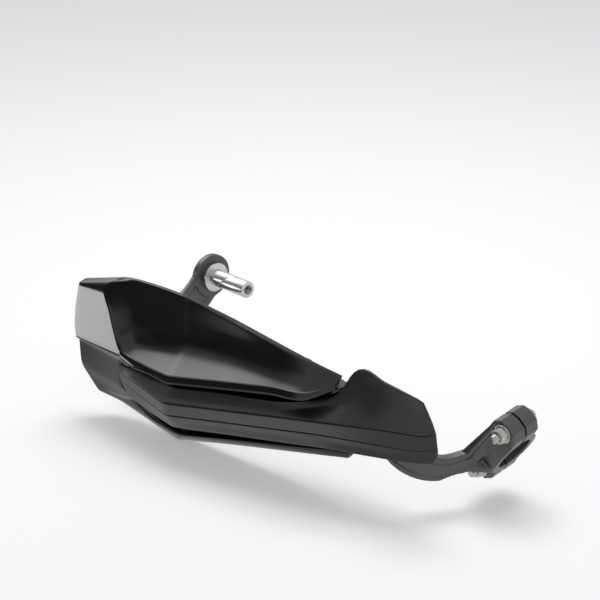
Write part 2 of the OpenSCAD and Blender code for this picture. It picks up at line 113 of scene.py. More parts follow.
def make_grain_group():
    group = bpy.data.node_groups.new("Moulded grain", "ShaderNodeTree")
    socket(group, "INPUT", "Vector", "NodeSocketVector")
    socket(group, "INPUT", "Grain scale", "NodeSocketFloat", 1200.0)
    socket(group, "INPUT", "Roughness", "NodeSocketFloat", 0.4)
    socket(group, "INPUT", "Spread", "NodeSocketFloat", 0.06)
    socket(group, "OUTPUT", "Height", "NodeSocketFloat")
    socket(group, "OUTPUT", "Roughness", "NodeSocketFloat")
    start = group.nodes.new("NodeGroupInput")
    end = group.nodes.new("NodeGroupOutput")
    grain = noise(group, start.outputs["Vector"], start.outputs["Grain scale"], 3.0, 0.6)
    broad = noise(group, start.outputs["Vector"], 22.0, 3.0, 0.55)
    spread = start.outputs["Spread"]
    rough = math_node(group, "ADD", start.outputs["Roughness"], drift(group, broad, spread))
    rough = math_node(group, "ADD", rough, drift(group, grain, spread))
    group.links.new(grain, end.inputs["Height"])
    group.links.new(rough, end.inputs["Roughness"])
    return group


grain_group = make_grain_group()
group_outputs = [s.name for s in grain_group.interface.items_tree if s.in_out == "OUTPUT"]
print("group:", grain_group.name, "outputs:", group_outputs)

# %% [markdown]
# The turned and plated metal parts are not even either. A lathe leaves fine rings
# round the part's axis, and zinc has a faint cloudy tone. The second group takes the
# object-space point, squeezed across Y and Z so that the rings change along X, and makes both.

# %% Lathe group
def make_lathe_group():
    group = bpy.data.node_groups.new("Lathe rings", "ShaderNodeTree")
    socket(group, "INPUT", "Vector", "NodeSocketVector")
    socket(group, "INPUT", "Rings", "NodeSocketFloat", 900.0)
    socket(group, "INPUT", "Roughness", "NodeSocketFloat", 0.2)
    socket(group, "INPUT", "Spread", "NodeSocketFloat", 0.12)
    socket(group, "INPUT", "Light tone", "NodeSocketColor", (0.8, 0.8, 0.8, 1))
    socket(group, "INPUT", "Dark tone", "NodeSocketColor", (0.6, 0.6, 0.6, 1))
    socket(group, "OUTPUT", "Color", "NodeSocketColor")
    socket(group, "OUTPUT", "Height", "NodeSocketFloat")
    socket(group, "OUTPUT", "Roughness", "NodeSocketFloat")
    start = group.nodes.new("NodeGroupInput")
    end = group.nodes.new("NodeGroupOutput")
    stretch = group.nodes.new("ShaderNodeVectorMath")
    stretch.operation = "MULTIPLY"
    stretch.inputs[1].default_value = (1.0, 0.04, 0.04)
    group.links.new(start.outputs["Vector"], stretch.inputs[0])
    rings = noise(group, stretch.outputs[0], start.outputs["Rings"], 2.0, 0.7)
    cloud = noise(group, start.outputs["Vector"], 260.0, 3.0, 0.6)
    tone = group.nodes.new("ShaderNodeMix")
    tone.data_type = "RGBA"
    group.links.new(cloud, tone.inputs["Factor"])
    group.links.new(start.outputs["Dark tone"], tone.inputs[6])
    group.links.new(start.outputs["Light tone"], tone.inputs[7])
    uneven = drift(group, rings, start.outputs["Spread"])
    rough = math_node(group, "ADD", start.outputs["Roughness"], uneven)
    group.links.new(tone.outputs[2], end.inputs["Color"])
    group.links.new(rings, end.inputs["Height"])
    group.links.new(rough, end.inputs["Roughness"])
    return group


lathe_group = make_lathe_group()

# %% [markdown]
# Each finish is a Principled shader with one of the groups in front of it. Numbers
# that are the same all over the surface sit on the shader's own sockets. The deflector
# is high-gloss black with a faint orange-peel, the cover a satin moulded grain, and the
# arm a powder coat, which is rougher and slightly lumpy.

# %% Finishes
def new_material(name):
    material = bpy.data.materials.new(name)
    material.use_nodes = True
    tree = material.node_tree
    shader = tree.nodes["Principled BSDF"]
    place = tree.nodes.new("ShaderNodeTexCoord")
    return material, tree, shader, place


def add_bump(tree, shader, height, strength, distance):
    bump = tree.nodes.new("ShaderNodeBump")
    bump.inputs["Strength"].default_value = strength
    bump.inputs["Distance"].default_value = distance
    tree.links.new(height, bump.inputs["Height"])
    tree.links.new(bump.outputs["Normal"], shader.inputs["Normal"])


def plastic(name, dark, light, roughness, spread, grain, bump, depth, metal=0.0):
    material, tree, shader, place = new_material(name)
    grain_node = tree.nodes.new("ShaderNodeGroup")
    grain_node.node_tree = grain_group
    grain_node.inputs["Grain scale"].default_value = grain
    grain_node.inputs["Roughness"].default_value = roughness
    grain_node.inputs["Spread"].default_value = spread
    tree.links.new(place.outputs["Object"], grain_node.inputs["Vector"])
    tree.links.new(grain_node.outputs["Roughness"], shader.inputs["Roughness"])
    tone = tree.nodes.new("ShaderNodeMix")
    tone.data_type = "RGBA"
    tone.inputs[6].default_value = (*dark, 1)
    tone.inputs[7].default_value = (*light, 1)
    tree.links.new(grain_node.outputs["Height"], tone.inputs["Factor"])
    tree.links.new(tone.outputs[2], shader.inputs["Base Color"])
    shader.inputs["Metallic"].default_value = metal
    add_bump(tree, shader, grain_node.outputs["Height"], bump, depth)
    return material


lathe_depth = 0.04 * MM


def turned_metal(name, dark, light, roughness, spread, rings, bump):
    material, tree, shader, place = new_material(name)
    lathe_node = tree.nodes.new("ShaderNodeGroup")
    lathe_node.node_tree = lathe_group
    lathe_node.inputs["Rings"].default_value = rings
    lathe_node.inputs["Roughness"].default_value = roughness
    lathe_node.inputs["Spread"].default_value = spread
    lathe_node.inputs["Light tone"].default_value = (*light, 1)
    lathe_node.inputs["Dark tone"].default_value = (*dark, 1)
    tree.links.new(place.outputs["Object"], lathe_node.inputs["Vector"])
    tree.links.new(lathe_node.outputs["Color"], shader.inputs["Base Color"])
    tree.links.new(lathe_node.outputs["Roughness"], shader.inputs["Roughness"])
    shader.inputs["Metallic"].default_value = 1.0
    add_bump(tree, shader, lathe_node.outputs["Height"], bump, lathe_depth)
    return material


gloss_black = plastic(
    "Gloss black plastic", (0.004, 0.004, 0.0045), (0.006, 0.006, 0.0065),
    roughness=0.1, spread=0.05, grain=420.0, bump=0.03, depth=0.05 * MM)
satin_black = plastic(
    "Satin black plastic", (0.009, 0.009, 0.0095), (0.016, 0.016, 0.0165),
    roughness=0.42, spread=0.12, grain=2400.0, bump=0.22, depth=0.08 * MM)
powder_coat = plastic(
    "Black powder coat", (0.09, 0.09, 0.092), (0.13, 0.13, 0.133),
    roughness=0.38, spread=0.14, grain=1500.0, bump=0.3, depth=0.12 * MM, metal=0.75)
black_steel = plastic(
    "Blackened steel", (0.02, 0.02, 0.02), (0.035, 0.035, 0.035),
    roughness=0.35, spread=0.15, grain=1800.0, bump=0.15, depth=0.06 * MM)
zinc_steel = turned_metal(
    "Zinc plated steel", (0.34, 0.34, 0.325), (0.52, 0.52, 0.5),
    roughness=0.26, spread=0.25, rings=1500.0, bump=0.25)
polished = turned_metal(
    "Polished aluminium", (0.52, 0.52, 0.52), (0.7, 0.7, 0.7),
    roughness=0.3, spread=0.16, rings=2200.0, bump=0.2)
plain_aluminium = turned_metal(
    "Turned aluminium", (0.5, 0.5, 0.5), (0.66, 0.66, 0.66),
    roughness=0.32, spread=0.2, rings=1800.0, bump=0.3)
brass = turned_metal(
    "Turned brass", (0.55, 0.38, 0.13), (0.72, 0.52, 0.2),
    roughness=0.28, spread=0.2, rings=1800.0, bump=0.3)
print("finishes:", [m.name for m in bpy.data.materials])

# %% [markdown]
# The two shells are drawn as a set of feature lines: the top edge, each fold, each
# ridge and the bottom edge, every one from the outboard end to the inboard end. A
# smooth curve runs through every line and again across the lines. Its tangents are no
# longer than the gap to the nearer neighbour, so lines that lie close together make a
# tight fold and lines far apart a calm, nearly flat face. The numbers are millimetres
# and the same ones as in the solids.

# %% Feature lines
def side(x, z):
    """A point on the flat outboard side face."""
    return (x, -145 - 0.06 * x + 0.2 * z, z)


deflector_lines = [
    [(5, -134, 35), (48, -133, 47.5), (56, -132, 49), (70, -132.4, 51), (92, -129.6, 51),
     (112, -127, 50), (120, -125, 48.5), (155, -118, 42), (202.7, -113.5, 34.5),
     (230.1, -109.3, 29.2), (246, -99, 21.5)],
    [side(4, 32), side(36.3, 38), (40.3, -139.1, 39), (67, -133.2, 46), (91, -130, 48.5),
     (112, -127.3, 47.8), (119.5, -125.4, 46.2), (155, -119.7, 40.6), (202.7, -114.8, 33.4),
     (230.1, -110.5, 28.5), (246.5, -100, 20.8)],
    [side(3, 15.4), side(46.1, 22.4), (50, -141.8, 22.4), (65, -135, 25), (88, -131, 28),
     (111, -127.5, 28), (119, -125.5, 28), (156, -118.7, 28), (204.3, -116.9, 28),
     (232, -112.6, 24.6), (247, -101, 20)],
    [side(4.5, 3.2), side(55.3, 9.1), (59.3, -144.4, 9.1), (70, -138, 14), (90, -132, 15),
     (112, -129, 16), (120, -127.5, 16.5), (158, -122.5, 18), (206, -120, 21.5),
     (233.5, -115.3, 20.5), (247, -102, 19)],
    [side(6.1, -2), side(59.8, 3.3), (63.8, -146.4, 4.1), (74, -141, 4.5), (94, -137.5, 5),
     (114, -136.5, 6.5), (122, -135.3, 8), (160.5, -129.5, 10.7), (207.8, -124.6, 15.6),
     (235, -119, 16.9), (247, -102.7, 18.3)],
    [side(7.1, -4.2), side(62.6, 0.2), (64.6, -148.6, 0), (81, -148.8, -1.9),
     (101.2, -149, -2.5), (120.5, -149.5, -1.9), (128.3, -149, -0.5), (165, -139.6, 5),
     (209.3, -129.3, 11.8), (236.2, -123, 14.2), (247, -103.4, 17.8)],
    [side(7.6, -5.2), side(63.4, -0.9), (65.5, -149.3, -1.2), (82, -149.9, -2.5),
     (102, -150.1, -3), (121, -150.6, -2.4), (129, -150.1, -1), (166, -140.6, 4.6),
     (210, -130.3, 11.5), (237, -124, 13.8), (247, -104, 17.3)],
    [side(8.7, -7.2), side(66, -5), (68, -150.4, -6), (82, -151.4, -8.2), (102, -151.6, -7.5),
     (121, -152, -8), (129, -151.5, -6.5), (166, -142, -0.8), (210, -131.5, 6),
     (237, -125, 8.8), (248, -104.5, 14)],
    [(9.3, -144.6, -10.4), (60, -146.6, -11), (64, -143.5, -13), (80, -142, -12.5),
     (100, -142, -11), (119, -142, -11.5), (127, -141.5, -11), (165, -132, -4.5), (209, -119, 3),
     (236, -108, 8.5), (245, -95, 10.5)],
    [(9, -143, -29), (54, -141, -34), (59, -136, -34), (74, -135, -34), (94, -134, -36),
     (112, -134, -38), (120, -133, -37), (158, -125, -30), (204, -116, -20),
     (232, -108, -14), (241, -99, -8)],
    [(14, -140, -40), (60, -136.5, -43.5), (65, -132, -44), (76, -129, -50), (92, -127, -54),
     (106, -126, -56), (114, -125, -55), (150, -117, -49), (196, -109, -38),
     (231, -103, -32), (245, -98.5, -28)],
    [(20, -138, -48), (45, -134, -49), (62, -133.5, -50), (76, -132, -56), (94, -131, -59),
     (108, -130, -60), (116, -129, -58.5), (153, -119.5, -52), (199, -112, -43),
     (234, -105, -36), (257, -101.5, -31)],
    [(22, -136, -51), (40, -130.5, -55), (54, -129.5, -57.5), (72, -126, -63),
     (86, -124, -67.5), (98, -123, -70), (106, -122, -68), (145, -115, -59.5),
     (192, -107.5, -50), (228, -102.5, -42.5), (257, -100.5, -35.5)],
    [(26, -127, -50), (44, -121, -54), (58, -119, -56), (75, -116, -61), (88, -114, -65),
     (99, -113, -67), (107, -112, -65), (146, -106, -57), (193, -98, -48),
     (229, -93, -40), (256, -92, -34)]
]
# Which way each line is thickened: y and z shares of the wall
deflector_back = [
    (1, 0), (1, -0.2), (1, 0), (1, -0.1), (0.87, -0.5), (0.87, -0.67), (1, -0.55),
    (1, 0.2), (1, 0.27), (1, 0.2), (1, 0), (1, 0.2), (0.5, 1.07), (0, 1)
]
upper_ridge = [
    (61.8, -148, -18.5), (88, -151, -19.5), (118, -154, -22), (125.5, -153.6, -21.3),
    (166, -144.4, -15), (216, -131.1, -8), (247, -122.5, -3.9), (265, -115, -2.7),
    (289, -102.6, -2), (316, -91.5, -1), (325, -88, 2)
]
lower_ridge = [
    (59, -144.5, -27), (85, -145.5, -32), (113, -148, -35), (120.5, -147.6, -34.3),
    (160, -137, -28.8), (210, -123.8, -22), (240, -115.8, -17.9), (258, -109.7, -16.8),
    (280, -101.9, -15.8), (308, -92, -14.5), (325, -86, -10)
]

# How deep the groove under each ridge is, from the outboard to the inboard end
upper_groove = (0.3, 0.9, 1, 1, 1, 1, 1, 1, 0.9, 0.7, 0.4)
lower_groove = (0.3, 0.9, 1, 1, 1, 1, 1, 1, 0.8, 0.4, 0.3)


groove_slip = 0.6


def under(ridge, shares, back, drop):
    """A line of the groove below a ridge, nearer to the ridge where its share is small."""
    return [(x - groove_slip * share, y + back * share, z - drop * share)
            for (x, y, z), share in zip(ridge, shares)]


cover_lines = [
    [(62.8, -148.2, -12.8), (88, -145.3, -12.6), (117, -146.5, -11.9), (127, -146.3, -11.4),
     (166, -136, -6), (216, -125, 0.8), (247, -106, 9.5), (260, -95.5, 30.5),
     (285, -96, 29.3), (314, -96.3, 27.3), (320, -95.5, 25.5)],
    [(62.6, -148.2, -14.4), (88, -147, -14), (117, -148, -13.9), (127, -147.5, -13.4),
     (166, -137, -7.8), (216, -125.4, -1), (247, -108, 7), (262, -98, 22),
     (287, -97.5, 21), (315, -94.5, 19), (322, -92.5, 17)],
    [(62.3, -148.2, -16.8), (88, -149, -16.7), (118, -151, -18.5), (126, -150.5, -18),
     (165, -139.5, -10.8), (215, -127.2, -4.5), (247, -111, 3), (264, -105, 9),
     (288, -100, 10), (316, -93, 9), (324, -90, 9)],
    upper_ridge,
    under(upper_ridge, upper_groove, 1.9, 0.6),
    under(upper_ridge, upper_groove, 0.9, 2),
    lower_ridge,
    under(lower_ridge, lower_groove, 2.2, 0.6),
    under(lower_ridge, lower_groove, 1.3, 2),
    [(60, -141, -36.5), (86, -141, -41), (111, -142.5, -43), (118.5, -142, -42.5),
     (157, -131.5, -37), (206, -119, -30), (237, -111.5, -26), (254, -105.5, -24),
     (276, -99.5, -23), (306, -91, -20), (324.5, -85.3, -16)],
    [(66, -138, -43.5), (88, -137, -48), (109, -137.5, -50), (117.5, -136.5, -49.2),
     (156, -127.1, -43.7), (204, -115.6, -37), (236, -107.9, -32.4), (252, -104.6, -30.5),
     (274, -100, -27.8), (304, -91.6, -24.8), (322, -85.5, -21.5)],
    [(66.5, -135.5, -43), (88, -133.5, -47.5), (109, -134, -49.5), (117.5, -133, -48.7),
     (156, -123.5, -43.2), (204, -112, -36.5), (236, -104.5, -32), (252, -101.5, -30),
     (274, -97, -27.3), (304, -89, -24.3), (319, -84, -24)]
]
cover_back = [
    (1, -0.1), (1, 0), (1, 0), (1, 0), (1, 0), (1, 0), (1, 0), (1, 0), (1, 0), (1, 0),
    (1, 0.5), (0.2, 1)
]


# %% [markdown]
# The curve between two points is a cubic with a tangent at either end. The same little
# function fills a line lengthwise and the whole grid across.

# %% Curve and grid
def tangent(line, i):
    last = len(line) - 1
    if i == 0:
        return line[1] - line[0]
    if i == last:
        return line[last] - line[last - 1]
    before = (line[i] - line[i - 1]).length
    after = (line[i + 1] - line[i]).length
    return (line[i + 1] - line[i - 1]).normalized() * min(before, after)


def smooth(line, steps):
    out = []
    for i in range(len(line) - 1):
        a, b = line[i], line[i + 1]
        ta, tb = tangent(line, i), tangent(line, i + 1)
        for k in range(steps):
            t = k / steps
            out.append(a * (2 * t**3 - 3 * t**2 + 1) + ta * (t**3 - 2 * t**2 + t)
                       + b * (3 * t**2 - 2 * t**3) + tb * (t**3 - t**2))
    out.append(line[-1].copy())
    return out


def flip(grid):
    return [list(row) for row in zip(*grid)]


def fine_grid(lines, steps):
    long_rows = [smooth([Vector(p) * MM for p in line], steps) for line in lines]
    return flip([smooth(column, steps) for column in flip(long_rows)])


def stretched(values, steps):
    out = []
    for i in range(len(values) - 1):
        for k in range(steps):
            t = k / steps
            out.append(Vector(values[i]) * (1 - t) + Vector(values[i + 1]) * t)
    out.append(Vector(values[-1]))
    return out


# %% [markdown]
# A moulded shell is a front skin and the same skin moved back by the wall. Its edge is
# never sharp: the mould leaves a small radius, and that radius is what catches the
# light as a thin bright line. So the outermost row of both skins is pulled in a little,
# and the rim between them is a short round strip.

# %% Shell with a round rim
# The rim from front to back: share of the wall, and how far the point is pulled in, as a
# share of the rim's radius
rim_profile = ((0.12, 0.3), (0.3, 0.05), (0.7, 0.05), (0.88, 0.3))
rim_cell_share = 0.45


def shell_mesh(lines, back, wall, steps, rim_radius):
    outer = fine_grid(lines, steps)
    shift = stretched(back, steps)
    rows, cols = len(outer), len(outer[0])
    inner = [[point + Vector((0, move.x, move.y)) * wall for point in row]
             for row, move in zip(outer, shift)]
    ring = ([(0, j) for j in range(cols)]
            + [(i, cols - 1) for i in range(1, rows)]
            + [(rows - 1, j) for j in range(cols - 2, -1, -1)]
            + [(i, 0) for i in range(rows - 2, 0, -1)])

    def towards_middle(i, j):
        return min(max(i, 1), rows - 2), min(max(j, 1), cols - 2)

    rim_front, rim_back, pulls = {}, {}, {}
    for i, j in ring:
        ni, nj = towards_middle(i, j)
        away = outer[i][j] - outer[ni][nj]
        reach = min(rim_radius, rim_cell_share * away.length)
        pulls[(i, j)] = away.normalized() * reach
        rim_front[(i, j)] = outer[i][j].copy()
        rim_back[(i, j)] = inner[i][j].copy()
    for (i, j), pull in pulls.items():
        outer[i][j] = outer[i][j] - pull
        inner[i][j] = inner[i][j] - pull

    mesh = bmesh.new()
    front = [[mesh.verts.new(p) for p in row] for row in outer]
    rear = [[mesh.verts.new(p) for p in row] for row in inner]
    for i in range(rows - 1):
        for j in range(cols - 1):
            mesh.faces.new((front[i][j], front[i + 1][j], front[i + 1][j + 1], front[i][j + 1]))
            mesh.faces.new((rear[i][j], rear[i][j + 1], rear[i + 1][j + 1], rear[i + 1][j]))
    strips = []
    for share, inset in rim_profile:
        strip = []
        for key in ring:
            point = rim_front[key].lerp(rim_back[key], share) - pulls[key] * inset
            strip.append(mesh.verts.new(point))
        strips.append(strip)
    levels = [[front[i][j] for i, j in ring]] + strips + [[rear[i][j] for i, j in ring]]
    count = len(ring)
    for low, high in zip(levels[:-1], levels[1:]):
        for k in range(count):
            n = (k + 1) % count
            mesh.faces.new((low[k], low[n], high[n], high[k]))
    return mesh


def add_lathe(mesh, profile, place, turn, sides=48):
    """A closed turned form: profile is (distance along the axis, radius) from end to end."""
    rings = []
    for along, radius in profile:
        ring = []
        for k in range(sides):
            angle = 2 * math.pi * k / sides
            point = Vector((radius * math.cos(angle), along, radius * math.sin(angle))) * MM
            ring.append(mesh.verts.new(turn @ point + place))
        rings.append(ring)
    for low, high in zip(rings[:-1], rings[1:]):
        for k in range(sides):
            n = (k + 1) % sides
            mesh.faces.new((low[k], low[n], high[n], high[k]))
    mesh.faces.new(list(reversed(rings[0])))
    mesh.faces.new(rings[-1])


def to_object(name, mesh, material, sharp=38):
    bmesh.ops.recalc_face_normals(mesh, faces=mesh.faces)
    data = bpy.data.meshes.new(name)
    mesh.to_mesh(data)
    mesh.free()
    data.shade_smooth()
    data.set_sharp_from_angle(angle=math.radians(sharp))
    made = bpy.data.objects.new(name, data)
    bpy.context.scene.collection.objects.link(made)
    made.data.materials.append(material)
    print(name, "faces:", len(data.polygons))
    return made


def keep_inside(mesh):
    """Hold the finer curves of a shell inside the box of the solids."""
    for vert in mesh.verts:
        for axis in range(3):
            vert.co[axis] = min(max(vert.co[axis], cad_box[0][axis]), cad_box[1][axis])


def flatten_faces(piece):
    """Let the large faces rule the shading, so that a round rim doesn't darken its neighbours."""
    weighted = piece.modifiers.new("Flat faces", "WEIGHTED_NORMAL")
    weighted.weight = 80
    weighted.keep_sharp = True


# %% [markdown]
# Behind the shells are the moulded bosses that the screws go into. They are solids of
# turning, so a profile of length and radius is enough, with a small radius at the rim.
# Two stand on the line of the arm's screws and two pairs hold the shells together.

# %% Screw places
screw_outer = Vector((200, -92, 9.5)) * MM
screw_inner = Vector((254, -86, -1.5)) * MM
bar = screw_inner - screw_outer
screw_turn = (Matrix.Rotation(math.atan2(bar.y, bar.x), 3, "Z")
              @ Matrix.Rotation(-math.asin(bar.z / bar.length), 3, "Y"))
joints = [Vector((150, -135.5, -23)) * MM, Vector((213, -119, -12)) * MM]
no_turn = Matrix.Identity(3)

# Sizes of the bosses in millimetres. The open face is measured along the screw, from
# the screw's place on the arm.
boss_face = -12.0
boss_radius = 7
boss_rim = 0.5
boss_core = 0.4
insert_radius = 4
insert_depth = 8
root_radius = 4
root_drop = Vector((0, 0, -2.4 * MM))


def boss_profile(start, end, radius, hole=None, depth=None):
    """From the buried end to the open face, and down into the hole if there is one."""
    corner = boss_rim * 0.3
    profile = [(start, boss_core), (start, radius), (end - boss_rim, radius),
               (end - corner, radius - corner), (end, radius - boss_rim)]
    if hole:
        profile += [(end, hole), (end - depth, hole), (end - depth, boss_core)]
    else:
        profile += [(end, boss_core)]
    return profile


def add_insert_boss(mesh, place, length, root_length):
    """A boss for a brass insert, and behind its hole a thin root that reaches the wall."""
    boss = boss_profile(boss_face - length, boss_face, boss_radius, insert_radius, insert_depth)
    root = boss_profile(boss_face - root_length, boss_face - insert_depth, root_radius)
    add_lathe(mesh, boss, place, screw_turn)
    add_lathe(mesh, root, place + root_drop, screw_turn)


# %% [markdown]
# Both shells are made the same way. They differ in their lines, their wall and which of
# the bosses they carry: the deflector's half of a joint stands behind the cover's half.

# %% Gloss deflector
grid_steps = 6
rim_radius = 0.7 * MM
shell_crease = 50
deflector_wall = 3.0 * MM
cover_wall = 2.5 * MM
deflector_joint = boss_profile(0.2, 11.5, 6)
cover_joint = boss_profile(-5, 0, 4.5)

deflector_mesh = shell_mesh(
    deflector_lines, deflector_back, deflector_wall, grid_steps, rim_radius)
add_insert_boss(deflector_mesh, screw_outer, 12, 20)
for joint in joints:
    add_lathe(deflector_mesh, deflector_joint, joint, no_turn)
keep_inside(deflector_mesh)
deflector = to_object("gloss_deflector", deflector_mesh, gloss_black, shell_crease)
flatten_faces(deflector)
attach(deflector, "root")
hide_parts("deflector_shell")

# %% Satin cover
cover_mesh = shell_mesh(cover_lines, cover_back, cover_wall, grid_steps, rim_radius)
add_insert_boss(cover_mesh, screw_inner, 8, 14)
for joint in joints:
    add_lathe(cover_mesh, cover_joint, joint, no_turn)
keep_inside(cover_mesh)
cover = to_object("satin_cover", cover_mesh, satin_black, shell_crease)
flatten_faces(cover)
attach(cover, "root")
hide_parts("lower_cover")

# %% [markdown]
# The arm and the clamp cap are castings: every edge has a radius and no face is dead
# flat. Their solids are sharp, so a copy is rebuilt as an even skin of small squares,
# which rounds each edge by about one square, and then relaxed a few times. That gives
# the soft edges of a casting under paint at once, which hand-placed bevels would not.

# %% Castings
weld_distance = 0.001 * MM
relax_rounds = 4
never_sharp = 180


def welded_copy(node_name):
    mesh = bmesh.new()
    mesh.from_mesh(cad_nodes[node_name].data)
    bmesh.ops.remove_doubles(mesh, verts=mesh.verts, dist=weld_distance)
    return mesh


def casting(node_name, piece_name, material, voxel):
    piece = to_object(piece_name, welded_copy(node_name), material, never_sharp)
    skin = piece.modifiers.new("Even skin", "REMESH")
    skin.mode = "VOXEL"
    skin.voxel_size = voxel * MM
    skin.use_smooth_shade = True
    soften = piece.modifiers.new("Relax", "SMOOTH")
    soften.factor = 0.5
    soften.iterations = relax_rounds
    depsgraph = bpy.context.evaluated_depsgraph_get()
    data = bpy.data.meshes.new_from_object(piece.evaluated_get(depsgraph))
    piece.modifiers.clear()
    piece.data = data
    piece.data.materials.clear()
    piece.data.materials.append(material)
    piece.data.shade_smooth()
    print(piece_name, "faces:", len(data.polygons))
    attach(piece, "root")
    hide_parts(node_name)


casting("bracket_arm", "cast_arm", powder_coat, voxel=0.65)
casting("clamp_cap", "cast_clamp_cap", powder_coat, voxel=0.5)

# %% [markdown]
# Nuts, screws, washers and the plug are machined, with crisp edges that are broken by
# a fine chamfer. A copy of each solid is welded, its flat triangles are joined into
# whole faces, and every edge sharper than 30 degrees gets a narrow two-step bevel.

# %% Machined parts
flat_angle = math.radians(0.5)
edge_angle = math.radians(30)
machined_crease = 32


def machined(node_name, piece_name, material, chamfer):
    mesh = welded_copy(node_name)
    bmesh.ops.dissolve_limit(mesh, angle_limit=flat_angle, verts=mesh.verts, edges=mesh.edges)
    edges = [e for e in mesh.edges
             if len(e.link_faces) == 2 and e.calc_face_angle(0) > edge_angle]
    bmesh.ops.bevel(mesh, geom=edges, offset=chamfer * MM, offset_type="OFFSET", segments=2,
                    profile=0.6, affect="EDGES", clamp_overlap=True)
    piece = to_object(piece_name, mesh, material, machined_crease)
    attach(piece, "root")
    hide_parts(node_name)


for which in ("upper", "lower"):
    machined(f"clamp_nut_{which}", f"flange_nut_{which}", zinc_steel, 0.3)
    machined(f"clamp_bolt_{which}", f"clamp_screw_{which}", zinc_steel, 0.3)
for which in ("outer", "inner"):
    machined(f"shell_screw_{which}", f"button_screw_{which}", zinc_steel, 0.3)
    machined(f"spacer_{which}", f"turned_spacer_{which}", plain_aluminium, 0.3)
    machined(f"insert_{which}", f"brass_insert_{which}", brass, 0.2)
    machined(f"cover_screw_{which}", f"black_screw_{which}", black_steel, 0.25)
machined("bar_end_bush", "plug_bush", polished, 0.4)
machined("bar_end_wedge", "plug_wedge", polished, 0.35)
machined("bar_end_bolt", "plug_bolt", zinc_steel, 0.4)
machined("bar_end_washer", "plug_washer", zinc_steel, 0.3)

# %% [markdown]
# The threads that show past the nuts repeat at an even pitch, which is work for
# Geometry Nodes: a thin ring is instanced along a line, once a pitch. The tree has the
# count, the pitch and the ring's size as inputs, and ends in real geometry with the
# finish on it, so nothing depends on instances later.

# %% Thread tree
def make_thread_tree(material):
    tree = bpy.data.node_groups.new("Thread rings", "GeometryNodeTree")
    socket(tree, "INPUT", "Count", "NodeSocketInt", 4)
    socket(tree, "INPUT", "Pitch", "NodeSocketFloat", 1.0 * MM)
    socket(tree, "INPUT", "Ring radius", "NodeSocketFloat", 2.9 * MM)
    socket(tree, "INPUT", "Wire radius", "NodeSocketFloat", 0.3 * MM)
    tree.interface.new_socket(name="Geometry", in_out="OUTPUT", socket_type="NodeSocketGeometry")
    start = tree.nodes.new("NodeGroupInput")
    end = tree.nodes.new("NodeGroupOutput")
    ring = tree.nodes.new("GeometryNodeCurvePrimitiveCircle")
    ring.inputs["Resolution"].default_value = 40
    wire = tree.nodes.new("GeometryNodeCurvePrimitiveCircle")
    wire.inputs["Resolution"].default_value = 6
    sweep = tree.nodes.new("GeometryNodeCurveToMesh")
    line = tree.nodes.new("GeometryNodeMeshLine")
    step = tree.nodes.new("ShaderNodeCombineXYZ")
    copies = tree.nodes.new("GeometryNodeInstanceOnPoints")
    real = tree.nodes.new("GeometryNodeRealizeInstances")
    finish = tree.nodes.new("GeometryNodeSetMaterial")
    finish.inputs["Material"].default_value = material
    link = tree.links.new
    link(start.outputs["Ring radius"], ring.inputs["Radius"])
    link(start.outputs["Wire radius"], wire.inputs["Radius"])
    link(ring.outputs["Curve"], sweep.inputs["Curve"])
    link(wire.outputs["Curve"], sweep.inputs["Profile Curve"])
    link(start.outputs["Pitch"], step.inputs["Z"])
    link(start.outputs["Count"], line.inputs["Count"])
    link(step.outputs[0], line.inputs["Offset"])
    link(line.outputs["Mesh"], copies.inputs["Points"])
    link(sweep.outputs["Mesh"], copies.inputs["Instance"])
    link(copies.outputs["Instances"], real.inputs["Geometry"])
    link(real.outputs["Geometry"], finish.inputs["Geometry"])
    link(finish.outputs["Geometry"], end.inputs["Geometry"])
    return tree


thread_tree = make_thread_tree(zinc_steel)
wire_share = 0.3


def thread_rings(name, place, count, pitch, radius, material):
    """Rings of a thread round local Z, put where the matrix place says."""
    holder = bpy.data.objects.new(name, bpy.data.meshes.new(name))
    bpy.context.scene.collection.objects.link(holder)
    rings = holder.modifiers.new("Thread rings", "NODES")
    rings.node_group = thread_tree
    values = {"Count": count, "Pitch": pitch * MM, "Ring radius": radius * MM,
              "Wire radius": pitch * wire_share * MM}
    for item in thread_tree.interface.items_tree:
        if item.in_out == "INPUT":
            rings[item.identifier] = values[item.name]
    depsgraph = bpy.context.evaluated_depsgraph_get()
    data = bpy.data.meshes.new_from_object(holder.evaluated_get(depsgraph))
    holder.modifiers.clear()
    data.transform(place)
    data.shade_smooth()
    holder.data = data
    holder.data.materials.clear()
    holder.data.materials.append(material)
    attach(holder, "root")
    print(name, "rings:", count)


def turned(angle, axis):
    return Matrix.Rotation(math.radians(angle), 4, axis)


# The clamp's frame and what stands in it are the same as in the solids
clamp_at = Vector((328, -21, -24)) * MM
clamp_frame = Matrix.Translation(clamp_at) @ turned(7, "Z") @ turned(34, "Y") @ turned(14, "X")
bolt_offset = 23
nut_thread_start = -22.1
plug_thread_start = 30.5
for which, along in (("upper", bolt_offset), ("lower", -bolt_offset)):
    tip = Matrix.Translation(Vector((0, nut_thread_start, along)) * MM) @ turned(-90, "X")
    thread_rings(f"nut_thread_{which}", clamp_frame @ tip, count=4, pitch=1.0, radius=2.75,
                 material=zinc_steel)
plug_tip = Matrix.Translation(Vector((plug_thread_start, 0, 0)) * MM) @ turned(90, "Y")
thread_rings("plug_thread", plug_tip, count=7, pitch=1.25, radius=4.05,
             material=polished)

# %% [markdown]
# Gloss black is only as bright as what it mirrors, so the studio is built for the
# mirror. It is one function of direction: white all round, but for a dark patch in
# front of the guard's outboard end, and one glow above that end that fades out softly,
# so that no reflection has a hard edge. Both the world and the far floor use it, so one
# group makes it.

# %% Studio group
room_darkness = 0.88
glow_strength = 3.2


